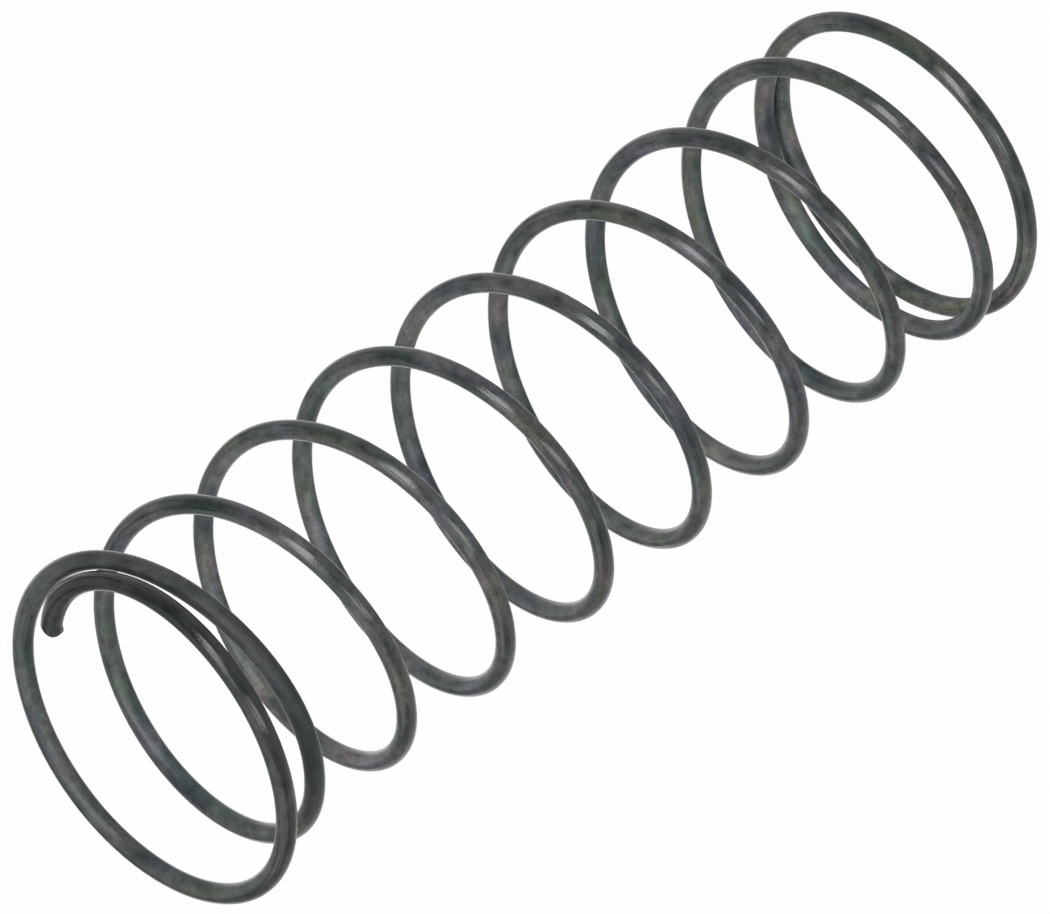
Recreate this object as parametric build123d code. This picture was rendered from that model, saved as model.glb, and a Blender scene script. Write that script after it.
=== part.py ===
from build123d import *
from dataclasses import dataclass
from math import ceil, cos, pi, radians, sin, sqrt, tan
import os

# Compression spring of a shock absorber, wound right-handed from one round steel wire.
# It stands on its lower end: +Z runs up the axis, the origin is level with the wire's lowest point,
# and the lower tip lies at +X. Lengths are millimetres. Diameters of turns are taken across the wire's centre.

# Wire and open coil
wire_diameter = 1.25
coil_diameter = 20.6
coil_pitch = 8.92
total_turns = 10.005
points_per_turn = 12

# Ends nipped off with side cutters: two slants that meet in a blunt ridge, off centre and turned about the wire
cut_slant = 30
cut_turn = 45
cut_ridge_offset = 0.12 * wire_diameter
cut_rounding = 0.12

# Lower end turn, closed on to the coil and left unground, a little off centre
lower_ring_offset = 0.95
lower_ring_angle = 240
lower_ring_turns = 1.22
lower_tip_gap = 0.13
lower_closed_pitch = 0.62
lower_opening_turns = 1.74
lower_lean = 0.16
lower_lean_angle = 103

# Upper end turn, wound wider and off centre, with its tip bent in under the next turn
upper_ring_diameter = coil_diameter + 1.92
upper_ring_offset = 1.05
upper_ring_angle = 264
upper_ring_turns = 1.27
upper_blend_turns = 0.21
upper_tuck_depth = 1.97 * wire_diameter
upper_tuck_turns = 0.26
upper_closed_pitch = 0.0
upper_first_rise = 0.845 * wire_diameter
upper_opening_turns = 1.58
upper_lean = 0.27
upper_lean_angle = 39


@dataclass
class EndTurn:
    """How one end of the wire is wound. Turns and angles count from that end's tip, along the wire."""

    ring_diameter: float
    ring_offset: float
    ring_angle: float
    ring_turns: float
    blend_turns: float
    tuck_depth: float
    tuck_turns: float
    closed_pitch: float
    first_rise: float
    opening_turns: float
    lean: float
    lean_angle: float
    lean_turns: float
    level_turns: float


lower = EndTurn(
    ring_diameter=coil_diameter,
    ring_offset=lower_ring_offset,
    ring_angle=lower_ring_angle,
    ring_turns=lower_ring_turns,
    blend_turns=0.5,
    tuck_depth=0.0,
    tuck_turns=0.25,
    closed_pitch=lower_closed_pitch,
    first_rise=wire_diameter + lower_tip_gap,
    opening_turns=lower_opening_turns,
    lean=lower_lean,
    lean_angle=lower_lean_angle,
    lean_turns=0.8,
    level_turns=0.5,
)
upper = EndTurn(
    ring_diameter=upper_ring_diameter,
    ring_offset=upper_ring_offset,
    ring_angle=upper_ring_angle,
    ring_turns=upper_ring_turns,
    blend_turns=upper_blend_turns,
    tuck_depth=upper_tuck_depth,
    tuck_turns=upper_tuck_turns,
    closed_pitch=upper_closed_pitch,
    first_rise=upper_first_rise,
    opening_turns=upper_opening_turns,
    lean=upper_lean,
    lean_angle=upper_lean_angle,
    lean_turns=0.3,
    level_turns=0.5,
)


def ease(x):
    """Smooth step from 0 to 1."""
    x = min(max(x, 0.0), 1.0)
    return x * x * (3 - 2 * x)


def radius(end, turns):
    """Distance from the axis: an off-centre ring that runs into the coil, with its tip bent inwards."""
    angle = 2 * pi * turns - radians(end.ring_angle)
    across = end.ring_offset * sin(angle)
    ring = end.ring_offset * cos(angle) + sqrt((end.ring_diameter / 2) ** 2 - across**2)
    share = 1 - ease((turns - end.ring_turns) / end.blend_turns)
    tuck = end.tuck_depth * max(0.0, 1 - turns / end.tuck_turns) ** 2
    return coil_diameter / 2 + share * (ring - coil_diameter / 2) - tuck


def closed_turns(end):
    """Turns wound at the closed pitch, so that the first whole turn from the tip rises by first_rise."""
    extra = coil_pitch - end.closed_pitch
    return 1 - sqrt(2 * end.opening_turns * (end.first_rise - end.closed_pitch) / extra)


def rise(end, turns):
    """Height above the tip: the pitch opens evenly from closed to full, and the end ring leans a little."""
    extra = coil_pitch - end.closed_pitch
    opened = max(0.0, turns - closed_turns(end))
    if opened < end.opening_turns:
        gained = extra * opened**2 / (2 * end.opening_turns)
    else:
        gained = extra * (opened - end.opening_turns / 2)
    share = 1 - ease((turns - end.lean_turns) / end.level_turns)
    lean = share * end.lean * cos(2 * pi * turns - radians(end.lean_angle))
    return end.closed_pitch * turns + gained + lean


def wire_centre(turn, upper_tip_height):
    """Point on the wire's centre line, counted in turns from the lower tip."""
    if turn < total_turns / 2:
        distance = radius(lower, turn)
        height = rise(lower, turn)
    else:
        distance = radius(upper, total_turns - turn)
        height = upper_tip_height - rise(upper, total_turns - turn)
    angle = 2 * pi * turn
    return Vector(distance * cos(angle), distance * sin(angle), height)


def centre_line():
    """The whole wire as one smooth curve, lifted so that its lowest point is at height zero."""
    upper_tip_height = rise(lower, total_turns / 2) + rise(upper, total_turns / 2)
    steps = ceil(total_turns * points_per_turn)
    turns = [total_turns * i / steps for i in range(steps + 1)]
    points = [wire_centre(turn, upper_tip_height) for turn in turns]
    lift = Vector(0, 0, wire_diameter / 2 - min(point.Z for point in points))
    return Edge.make_spline([point + lift for point in points])


def nip_off(wire, tip, outward):
    """Take off what lies beyond the two slants at one end of the wire."""
    upright = Vector(-tip.X, -tip.Y, 0).cross(outward).normalized()
    inward = outward.cross(upright)
    across = inward * cos(radians(cut_turn)) + upright * sin(radians(cut_turn))
    jaws = Plane(origin=tip, x_dir=across, z_dir=across.cross(outward))
    reach = 0.54 * wire_diameter
    slope = tan(radians(cut_slant))
    inner_end = (reach, -slope * (reach - cut_ridge_offset))
    outer_end = (-reach, -slope * (reach + cut_ridge_offset))
    ridge = (cut_ridge_offset, 0)
    beyond = Polyline((reach, reach), inner_end, ridge, outer_end, (-reach, reach), close=True)
    block = extrude(jaws * make_face(beyond), amount=reach, both=True)
    bar = Plane(origin=tip, z_dir=outward) * Cylinder(reach, 2 * reach)
    return wire - (block & bar)


def make_coil_spring():
    """Round wire, in four quarter strips, swept along its centre line and nipped off at both ends."""
    path = centre_line()
    quarters = [CenterArc((0, 0), wire_diameter / 2, 90 * i, 90) for i in range(4)]
    section = Plane(origin=path @ 0, z_dir=path % 0) * make_face(quarters)
    wire = sweep(section, path=path, is_frenet=True)
    wire = nip_off(wire, path @ 0, -(path % 0))
    wire = nip_off(wire, path @ 1, path % 1)
    slants = wire.faces().filter_by(GeomType.PLANE)
    return fillet(slants.edges(), cut_rounding)


coil_spring = make_coil_spring()

os.makedirs("parts", exist_ok=True)
export_step(coil_spring, "parts/coil_spring.step")
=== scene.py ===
from math import ceil, cos, exp, pi, radians, sin, sqrt

import bpy
from mathutils import Matrix, Vector


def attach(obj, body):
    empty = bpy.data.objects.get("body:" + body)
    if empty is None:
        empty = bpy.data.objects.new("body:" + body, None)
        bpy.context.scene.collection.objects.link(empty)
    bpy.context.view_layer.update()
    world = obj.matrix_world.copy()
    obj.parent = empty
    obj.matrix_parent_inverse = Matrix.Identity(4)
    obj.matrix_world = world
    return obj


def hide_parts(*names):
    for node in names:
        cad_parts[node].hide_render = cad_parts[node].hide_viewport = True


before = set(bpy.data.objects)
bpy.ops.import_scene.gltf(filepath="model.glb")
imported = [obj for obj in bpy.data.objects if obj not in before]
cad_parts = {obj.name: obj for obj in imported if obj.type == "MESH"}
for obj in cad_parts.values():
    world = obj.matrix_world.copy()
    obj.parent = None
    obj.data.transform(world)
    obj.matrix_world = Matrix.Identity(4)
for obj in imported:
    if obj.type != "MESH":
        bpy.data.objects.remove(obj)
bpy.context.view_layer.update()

# Everything below is in metres, in the CAD's frame: +Z up the spring's axis, the lower tip of the wire at +X.
# Angles are in degrees, and a bearing counts from +X towards +Y.
MM = 0.001

# Wire and open coil
wire_diameter = 1.25 * MM
coil_diameter = 20.6 * MM
coil_pitch = 8.92 * MM
total_turns = 10.005

# End turns; turns and degrees are counted along the wire from that end's tip
lower_end = {
    "ring_diameter": coil_diameter,
    "ring_offset": 0.95 * MM,
    "ring_angle": 240,
    "ring_turns": 1.22,
    "blend_turns": 0.5,
    "tuck_depth": 0.0,
    "tuck_turns": 0.25,
    "closed_pitch": 0.62 * MM,
    "first_rise": wire_diameter + 0.13 * MM,
    "opening_turns": 1.74,
    "lean": 0.16 * MM,
    "lean_angle": 103,
    "lean_turns": 0.8,
    "level_turns": 0.5,
}
upper_end = {
    "ring_diameter": coil_diameter + 1.92 * MM,
    "ring_offset": 1.05 * MM,
    "ring_angle": 264,
    "ring_turns": 1.27,
    "blend_turns": 0.21,
    "tuck_depth": 1.97 * wire_diameter,
    "tuck_turns": 0.26,
    "closed_pitch": 0.0,
    "first_rise": 0.845 * wire_diameter,
    "opening_turns": 1.58,
    "lean": 0.27 * MM,
    "lean_angle": 39,
    "lean_turns": 0.3,
    "level_turns": 0.5,
}

# Where the wire of the end turns is not quite round, because the cutter squashed it and it rubs on itself:
# turns from the upper tip, width in turns, and how far it stands out there on the outside and on the inside
# of the coil, in wire radii
bulges = (
    (0.05, 0.03, 0.15, 0.02),
    (0.145, 0.055, -0.16, 0.0),
    (1.02, 0.045, 0.0, 0.17),
    (1.14, 0.06, 0.0, -0.18),
    (8.855, 0.05, 0.0, 0.12),
    (9.865, 0.05, 0.12, 0.0),
)

# As the photograph shows it, the wire is thicker by this share at the upper tip, fading out over these turns
near_swell = 0.05
near_turns = 3.0

# Mesh of the wire; over the last tip_length its rings are drawn back, more and more, to the shape of the cut
stations_per_turn = 96
points_round = 40
cap_rings = 12
tip_length = 0.9 * wire_diameter

# Nipped ends, with their lengths in wire radii; the burr's bearing counts from outwards to along the spring
ridge_turn = 44
ridge_offset = -0.24
ridge_blunting = 0.28
edge_blunting = 0.2
dragged_slant = 0.62
dragged_curve = 1.3
broken_slant = 0.45
tip_flare = 0.05
burr_bearing = 136
burr_height = 0.13
burr_narrowness = 8
burr_steepness = 5

# Noise on the wire: scales are per metre, and a stretch below 1 draws the patches out along the wire
noises = {
    "hues": {"stretch": 0.35, "Scale": 700.0, "Detail": 2.0, "Roughness": 0.5},
    "blotches": {"stretch": 0.7, "Scale": 1500.0, "Detail": 3.0, "Roughness": 0.6},
    "grain": {"stretch": 1.0, "Scale": 5200.0, "Detail": 3.0, "Roughness": 0.7},
    "drawing": {"stretch": 0.04, "Scale": 3600.0, "Detail": 2.0, "Roughness": 0.6},
}

# Ranges that the tables below share: of a noise, from the wire's outer to its inner side, and of the length
# of wire just before the upper tip
noise_range = (0.3, 0.7)
inner_range = (0.4, 0.9)
tip_range = (0.625, 0.648)

# Oxide: the colour of the hues times the spread, plus the base, makes teal, olive and brownish patches
oxide_spread = (0.034, 0.028, 0.0335)
oxide_base = (0.0165, 0.0249, 0.0213)

# What makes the wire's colour lighter or darker: a source, its range, and the factors at that range's two
# ends.
# "along" is the length of wire from the lower tip. The noises are the oxide's own tone, and the cuts are
# lighter bare steel. The rest is painted light and shade: the coil's inside is lighter and so is the wire
# near the lower tip, and the wire is darker as painted shade towards the upper tip, darkest near the upper
# tip.
oxide_and_painted_light_levels = (
    ("blotches", noise_range, (0.55, 1.45)),
    ("grain", noise_range, (0.74, 1.26)),
    ("hues", noise_range, (0.52, 1.56)),
    # painted light: the coil's inside is made lighter to stand in for the softer light that falls there
    ("inner_side", inner_range, (0.95, 1.85)),
    # painted light: the wire near the lower tip, by the floor, is made lighter
    ("along", (0.0, 0.15), (1.25, 1.0)),
    # painted shade: the last turns darken towards the upper tip, deepest at the tip
    ("along", (0.50, 0.62), (1.0, 0.6)),
    ("along", tip_range, (1.0, 0.5)),
    ("bare_cut", (0.0, 0.3), (1.0, 1.5)),
)

# What adds to the roughness, in the same way; "off_rub" is the length of wire from the place that the upper
# tip's turn rubs on
rub_place = 0.566
roughness_parts = (
    ("blotches", noise_range, (0.12, 0.23)),
    ("inner_side", inner_range, (0.0, 0.25)),
    ("off_rub", (0.010, 0.022), (0.4, 0.0)),
)

# The film is smoother and has a glossy rim at a flat angle, and it shines less near the upper tip
flat_angle_roughness = ((0.4, 0.85), (1.0, 0.4))
flat_angle_rim = ((0.6, 1.0), (0.0, 0.22))
rim_roughness = 0.15
tip_shine = (tip_range, (0.5, 0.3))
film_ior = 1.45

# Relief: lines from the wire's drawing, with a little of the grain
grain_in_relief = ((0.0, 1.0), (0.0, 0.1))
relief_strength = 0.7
relief_height = 0.09 * MM

# Floor: its own grey takes the spring's shadow, the camera sees it almost white, and reflections find it
# whiter and whiter from the spring's middle out to +X
floor_reach = 3.0
floor_grey = 0.5
floor_to_camera = ((0.0, 1.0), (0.0, 0.97))
floor_to_gloss = ((0.0, 0.045), (0.15, 1.0))

# Lamps, all facing the spring's middle: name, bearing, elevation, distance, width, height and power in watts
lamp_aim = Vector((0, 0, 35 * MM))
lamps = (
    ("top", 130, 66, 1.3, 1.9, 1.9, 11.5),
    ("side", 30, 30, 1.3, 1.4, 0.8, 2.4),
    ("front_right", -89, 49, 0.8, 0.22, 0.85, 4.8),
    ("front_left", -138, 27, 0.8, 0.22, 0.62, 2.2),
)
world_strength = 0.38

# The camera of the photograph: a long lens from above, with the spring's axis rolled towards the lower left
picture_aim = Vector((-0.573, 0.506, 35.384)) * MM
camera_bearing = -110.834
camera_elevation = 33.193
camera_roll = 126.90
camera_distance = 1.645
camera_lens = 925.1


def ease(x):
    """Smooth step from 0 to 1."""
    x = min(max(x, 0.0), 1.0)
    return x * x * (3 - 2 * x)


def radius(end, turns):
    """Distance of the wire from the axis, so many turns from that end's tip."""
    angle = 2 * pi * turns - radians(end["ring_angle"])
    across = end["ring_offset"] * sin(angle)
    ring = end["ring_offset"] * cos(angle) + sqrt((end["ring_diameter"] / 2) ** 2 - across**2)
    share = 1 - ease((turns - end["ring_turns"]) / end["blend_turns"])
    tuck = end["tuck_depth"] * max(0.0, 1 - turns / end["tuck_turns"]) ** 2
    return coil_diameter / 2 + share * (ring - coil_diameter / 2) - tuck


def rise(end, turns):
    """Height of the wire above that end's tip, measured into the spring."""
    extra = coil_pitch - end["closed_pitch"]
    opening = end["opening_turns"]
    closed_turns = 1 - sqrt(2 * opening * (end["first_rise"] - end["closed_pitch"]) / extra)
    opened = max(0.0, turns - closed_turns)
    if opened < opening:
        gained = extra * opened**2 / (2 * opening)
    else:
        gained = extra * (opened - opening / 2)
    share = 1 - ease((turns - end["lean_turns"]) / end["level_turns"])
    lean = share * end["lean"] * cos(2 * pi * turns - radians(end["lean_angle"]))
    return end["closed_pitch"] * turns + gained + lean


def wire_centre(turn):
    """Point on the wire's centre line, counted in turns from the lower tip, before the wire is lifted."""
    if turn < total_turns / 2:
        distance = radius(lower_end, turn)
        height = rise(lower_end, turn)
    else:
        upper_tip_height = rise(lower_end, total_turns / 2) + rise(upper_end, total_turns / 2)
        distance = radius(upper_end, total_turns - turn)
        height = upper_tip_height - rise(upper_end, total_turns - turn)
    angle = 2 * pi * turn
    return Vector((distance * cos(angle), distance * sin(angle), height))


def wire_rings():
    """Centre, direction, outward side, length so far and turns left, at even steps along the whole wire."""
    steps = ceil(total_turns * stations_per_turn)
    line = [wire_centre(total_turns * i / steps) for i in range(steps + 1)]
    lift = Vector((0, 0, wire_diameter / 2 - min(point.z for point in line)))
    rings = []
    length = 0.0
    for i, point in enumerate(line):
        if i:
            length += (point - line[i - 1]).length
        along = (line[min(i + 1, steps)] - line[max(i - 1, 0)]).normalized()
        out = Vector((point.x, point.y, 0))
        out = (out - along * out.dot(along)).normalized()
        rings.append((point + lift, along, out, length, total_turns * (1 - i / steps)))
    return rings


def thickness(turns_left):
    """How thick the wire is towards the outside and towards the inside of the coil, in wire radii."""
    outside = inside = 1 + near_swell * ease(1 - turns_left / near_turns)
    for at, width, more_outside, more_inside in bulges:
        share = exp(-(((turns_left - at) / width) ** 2))
        outside += more_outside * share
        inside += more_inside * share
    return outside, inside


def burr_share(out, side):
    """How much of the burr there is in this direction of the section."""
    bearing = radians(burr_bearing)
    return max(0.0, out * cos(bearing) + side * sin(bearing)) ** burr_narrowness


def nipped_tip(out, side):
    """How far a point of a cut end lies behind its ridge, for a place in the section given in wire radii.

    The jaws meet along a blunt line that is turned from upright and off centre. One drags its share of the
    section round, and the other breaks the rest off at a flatter slant. Side points along the spring,
    to the left of the wire's way out.
    """
    turn = radians(ridge_turn)
    across = ridge_offset - out * cos(turn) + side * sin(turn)
    if across < 0:
        slant = dragged_slant * (-across) ** dragged_curve
    else:
        slant = broken_slant * across
    blunting = edge_blunting * (1 - burr_share(out, side))
    from_axis = sqrt(out * out + side * side)
    into_edge = min(max((from_axis - 1 + edge_blunting) / edge_blunting, 0.0), 1.0)
    return sqrt(slant**2 + ridge_blunting**2) + blunting * (1 - sqrt(1 - into_edge**2))


def placed(name, data):
    """A new object in the scene."""
    made = bpy.data.objects.new(name, data)
    bpy.context.scene.collection.objects.link(made)
    return made


def make_wire():
    """Rings of points along the wire, drawn back at its nipped ends and closed by smaller rings there."""
    rings = wire_rings()
    r = wire_diameter / 2
    wire_length = rings[-1][3]
    verts, faces, places, bareness, inward = [], [], [], [], []

    def add_ring(ring, towards_tip, size):
        """One ring of points; size runs from 1 on the wire's own surface down to 0 in the middle of a cut."""
        centre, along, out, length, turns_left = ring
        from_tip = wire_length - length if towards_tip > 0 else length
        share = max(0.0, 1 - from_tip / tip_length)
        outside, inside = thickness(turns_left)
        side = along.cross(out) * (outside + inside) / 2
        for k in range(points_round):
            angle = 2 * pi * k / points_round
            u, v = cos(angle) * size, sin(angle) * size
            back = share * nipped_tip(u, v * towards_tip) * r
            burr = 1 + burr_height * share**burr_steepness * burr_share(u, v * towards_tip)
            wide = u * ((outside if u > 0 else inside) + tip_flare * share * abs(u) ** 3)
            verts.append(centre + (out * wide + side * v) * burr * r - along * towards_tip * back)
            places.extend((length, u * r, v * r))
            bareness.append(1 - size)
            inward.append((1 - u) / 2)

    def join(first, second, turned):
        """Faces between two rings, given by their first points."""
        for k in range(points_round):
            n = (k + 1) % points_round
            quad = (first + k, first + n, second + n, second + k)
            faces.append(quad[::-1] if turned else quad)

    for ring in rings:
        add_ring(ring, -1 if ring[3] < wire_length / 2 else 1, 1.0)
    for i in range(len(rings) - 1):
        join(i * points_round, (i + 1) * points_round, False)
    upper_edge = (len(rings) - 1) * points_round
    for ring, towards_tip, last in ((rings[0], -1, 0), (rings[-1], 1, upper_edge)):
        for n in range(1, cap_rings):
            fresh = len(verts)
            add_ring(ring, towards_tip, cos(pi / 2 * n / cap_rings))
            join(last, fresh, towards_tip < 0)
            last = fresh
        centre, along, _, length, _ = ring
        verts.append(centre - along * towards_tip * nipped_tip(0, 0) * r)
        places.extend((length, 0.0, 0.0))
        bareness.append(1.0)
        inward.append(0.5)
        for k in range(points_round):
            triangle = (last + k, last + (k + 1) % points_round, len(verts) - 1)
            faces.append(triangle[::-1] if towards_tip < 0 else triangle)

    mesh = bpy.data.meshes.new("spring_wire")
    mesh.from_pydata([tuple(v) for v in verts], [], faces)
    mesh.update()
    mesh.attributes.new("on_wire", "FLOAT_VECTOR", "POINT").data.foreach_set("vector", places)
    for name, values in (("bare_cut", bareness), ("inner_side", inward)):
        mesh.attributes.new(name, "FLOAT", "POINT").data.foreach_set("value", values)
    mesh.shade_smooth()
    return placed("spring_wire", mesh)


def bare_material(name):
    """A material whose node tree is still empty."""
    material = bpy.data.materials.new(name)
    material.use_nodes = True
    material.node_tree.nodes.clear()
    return material


def node(tree, kind, at, **values):
    """A shader node with its settings and socket values."""
    made = tree.nodes.new(kind)
    made.location = at
    for name, value in values.items():
        if hasattr(made, name):
            setattr(made, name, value)
        else:
            made.inputs[name].default_value = value
    return made


def ranged(tree, source, span, new_span, at):
    """A number drawn from one range into another, and kept within it."""
    made = node(tree, "ShaderNodeMapRange", at)
    for name, value in zip(("From Min", "From Max", "To Min", "To Max"), span + new_span):
        made.inputs[name].default_value = value
    tree.links.new(source, made.inputs["Value"])
    return made.outputs["Result"]


def combined(tree, operation, first, second, at):
    """One number worked out from two others."""
    made = node(tree, "ShaderNodeMath", at, operation=operation)
    tree.links.new(first, made.inputs[0])
    tree.links.new(second, made.inputs[1])
    return made.outputs["Value"]


def gathered(tree, operation, sources, rows, at):
    """Sources drawn into new ranges, one for each row, and then all added or multiplied in that order."""
    x, y = at
    total = None
    for n, (name, span, new_span) in enumerate(rows):
        part = ranged(tree, sources[name], span, new_span, (x, y - 150 * n))
        total = combined(tree, operation, total, part, (x + 250, y - 150 * n)) if n else part
    return total


def wire_noise(tree, place, at, stretch, **values):
    """Noise laid along the wire as if it were straight."""
    x, y = at
    scaled = node(tree, "ShaderNodeVectorMath", (x - 200, y), operation="MULTIPLY")
    scaled.inputs[1].default_value = (stretch, 1, 1)
    tree.links.new(place, scaled.inputs[0])
    noise = node(tree, "ShaderNodeTexNoise", at, **values)
    tree.links.new(scaled.outputs["Vector"], noise.inputs["Vector"])
    return noise


def wire_sources(tree):
    """What the wire's look varies with, as sockets by name."""
    place = node(tree, "ShaderNodeAttribute", (-1800, 0), attribute_name="on_wire").outputs["Vector"]
    parts = node(tree, "ShaderNodeSeparateXYZ", (-1600, -900))
    tree.links.new(place, parts.inputs[0])
    along = parts.outputs["X"]
    past_rub = node(tree, "ShaderNodeMath", (-1400, -900), operation="SUBTRACT")
    past_rub.inputs[1].default_value = rub_place
    tree.links.new(along, past_rub.inputs[0])
    off_rub = node(tree, "ShaderNodeMath", (-1200, -900), operation="ABSOLUTE")
    tree.links.new(past_rub.outputs["Value"], off_rub.inputs[0])
    edge_on = node(tree, "ShaderNodeLayerWeight", (-1200, -1500), Blend=0.5)
    sources = {"along": along, "off_rub": off_rub.outputs["Value"], "edge_on": edge_on.outputs["Facing"]}
    for n, name in enumerate(("inner_side", "bare_cut")):
        attribute = node(tree, "ShaderNodeAttribute", (-1200, -1100 - 200 * n), attribute_name=name)
        sources[name] = attribute.outputs["Fac"]
    for n, (name, values) in enumerate(noises.items()):
        noise = wire_noise(tree, place, (-1200, 500 - 300 * n), **values)
        sources[name] = noise.outputs["Fac"]
    return sources


def oxide_and_painted_light_colour(tree, sources):
    """The hues' patches, made lighter or darker by the oxide's own tone and by painted light and shade."""
    patches = node(tree, "ShaderNodeVectorMath", (300, 700), operation="MULTIPLY_ADD")
    patches.inputs[1].default_value = oxide_spread
    patches.inputs[2].default_value = oxide_base
    tree.links.new(sources["hues"].node.outputs["Color"], patches.inputs[0])
    colour = node(tree, "ShaderNodeVectorMath", (600, 500), operation="SCALE")
    tree.links.new(patches.outputs["Vector"], colour.inputs[0])
    tree.links.new(gathered(tree, "MULTIPLY", sources, oxide_and_painted_light_levels, (-700, 900)), colour.inputs["Scale"])
    return colour.outputs["Vector"]


def film_roughness(tree, sources):
    """The added roughness, made less at a flat angle."""
    rough = gathered(tree, "ADD", sources, roughness_parts, (-700, -400))
    flatter = ranged(tree, sources["edge_on"], *flat_angle_roughness, (-100, -900))
    return combined(tree, "MULTIPLY", rough, flatter, (300, -400))


def wire_relief(tree, sources):
    """The drawing's lines and a little grain, as a change of the surface's direction."""
    some_grain = ranged(tree, sources["grain"], *grain_in_relief, (-100, -1100))
    relief = combined(tree, "ADD", some_grain, sources["drawing"], (300, -1100))
    bump = node(tree, "ShaderNodeBump", (600, -1100), Strength=relief_strength, Distance=relief_height)
    tree.links.new(relief, bump.inputs["Height"])
    return bump.outputs["Normal"]


def finish_material(tree, share, first, second, at):
    """Two shaders mixed by a share of the second, as the material's surface."""
    x, y = at
    mix = node(tree, "ShaderNodeMixShader", at)
    tree.links.new(share, mix.inputs["Fac"])
    tree.links.new(first.outputs[0], mix.inputs[1])
    tree.links.new(second.outputs[0], mix.inputs[2])
    output = node(tree, "ShaderNodeOutputMaterial", (x + 200, y))
    tree.links.new(mix.outputs[0], output.inputs["Surface"])


def blackened_steel():
    """Blackened spring wire under a dark, thin oxide, with light and shade painted into its colour in places.
    """
    material = bare_material("blackened_steel")
    tree = material.node_tree
    sources = wire_sources(tree)
    relief = wire_relief(tree, sources)
    film = node(tree, "ShaderNodeBsdfPrincipled", (1000, 200), Metallic=0.0, IOR=film_ior)
    tree.links.new(oxide_and_painted_light_colour(tree, sources), film.inputs["Base Color"])
    tree.links.new(film_roughness(tree, sources), film.inputs["Roughness"])
    shine = ranged(tree, sources["along"], *tip_shine, (600, -100))
    tree.links.new(shine, film.inputs["Specular IOR Level"])
    tree.links.new(relief, film.inputs["Normal"])
    rim = node(tree, "ShaderNodeBsdfGlossy", (1000, -600), Color=(1, 1, 1, 1), Roughness=rim_roughness)
    tree.links.new(relief, rim.inputs["Normal"])
    rim_share = ranged(tree, sources["edge_on"], *flat_angle_rim, (1000, -900))
    finish_material(tree, rim_share, film, rim, (1400, 0))
    return material


def floor_white():
    """White to the camera and, on the +X side, to reflections, over a grey that is lit like the spring."""
    material = bare_material("floor_white")
    tree = material.node_tree
    seen = node(tree, "ShaderNodeLightPath", (-300, 300))
    spot = node(tree, "ShaderNodeNewGeometry", (-700, 100))
    place = node(tree, "ShaderNodeSeparateXYZ", (-500, 100))
    tree.links.new(spot.outputs["Position"], place.inputs[0])
    to_camera = ranged(tree, seen.outputs["Is Camera Ray"], *floor_to_camera, (0, 500))
    whiter = ranged(tree, place.outputs["X"], *floor_to_gloss, (-300, 100))
    to_gloss = combined(tree, "MULTIPLY", seen.outputs["Is Glossy Ray"], whiter, (0, 250))
    amount = combined(tree, "MAXIMUM", to_camera, to_gloss, (150, 400))
    lit = node(tree, "ShaderNodeBsdfDiffuse", (0, 0), Color=(floor_grey, floor_grey, floor_grey, 1))
    glow = node(tree, "ShaderNodeEmission", (0, -200), Color=(1, 1, 1, 1), Strength=1.0)
    finish_material(tree, amount, lit, glow, (300, 0))
    return material


def pale_floor():
    """Plain floor that also fills the picture behind the spring."""
    far = floor_reach
    mesh = bpy.data.meshes.new("floor")
    mesh.from_pydata([(-far, -far, 0), (far, -far, 0), (far, far, 0), (-far, far, 0)], [], [(0, 1, 2, 3)])
    mesh.materials.append(floor_white())
    placed("floor", mesh)


def direction(bearing, elevation):
    """Unit vector towards a bearing and an elevation."""
    a, b = radians(bearing), radians(elevation)
    return Vector((cos(a) * cos(b), sin(a) * cos(b), sin(b)))


def soft_light(name, bearing, elevation, distance, width, height, power):
    """A rectangular lamp that faces the spring's middle, its height running upwards."""
    lamp = bpy.data.lights.new(name, "AREA")
    lamp.shape = "RECTANGLE"
    lamp.size = width
    lamp.size_y = height
    lamp.energy = power
    holder = placed(name, lamp)
    towards = direction(bearing, elevation)
    holder.location = lamp_aim + towards * distance
    holder.rotation_euler = towards.to_track_quat("Z", "Y").to_euler()


def studio():
    """White surroundings, two large soft lamps above and beside the spring and two tall ones in front."""
    world = bpy.data.worlds.new("studio")
    bpy.context.scene.world = world
    world.use_nodes = True
    background = world.node_tree.nodes["Background"]
    background.inputs["Color"].default_value = (1, 1, 1, 1)
    background.inputs["Strength"].default_value = world_strength
    for lamp in lamps:
        soft_light(*lamp)
    pale_floor()


def photograph_camera():
    """The camera at the photograph's angle, looking at the point in the middle of the picture."""
    camera = bpy.data.cameras.new("camera")
    camera.sensor_fit = "HORIZONTAL"
    camera.sensor_width = 36
    camera.lens = camera_lens
    camera.clip_start = 0.05
    camera.clip_end = 20
    holder = placed("camera", camera)
    towards = direction(camera_bearing, camera_elevation)
    upright = towards.to_track_quat("Z", "Y").to_matrix().to_4x4()
    turned = upright @ Matrix.Rotation(radians(-camera_roll), 4, "Z")
    holder.matrix_world = Matrix.Translation(picture_aim + towards * camera_distance) @ turned
    bpy.context.scene.camera = holder


wire = make_wire()
wire.data.materials.append(blackened_steel())
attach(wire, "root")
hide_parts("coil_spring")

studio()
photograph_camera()
bpy.context.scene.view_settings.view_transform = "Standard"
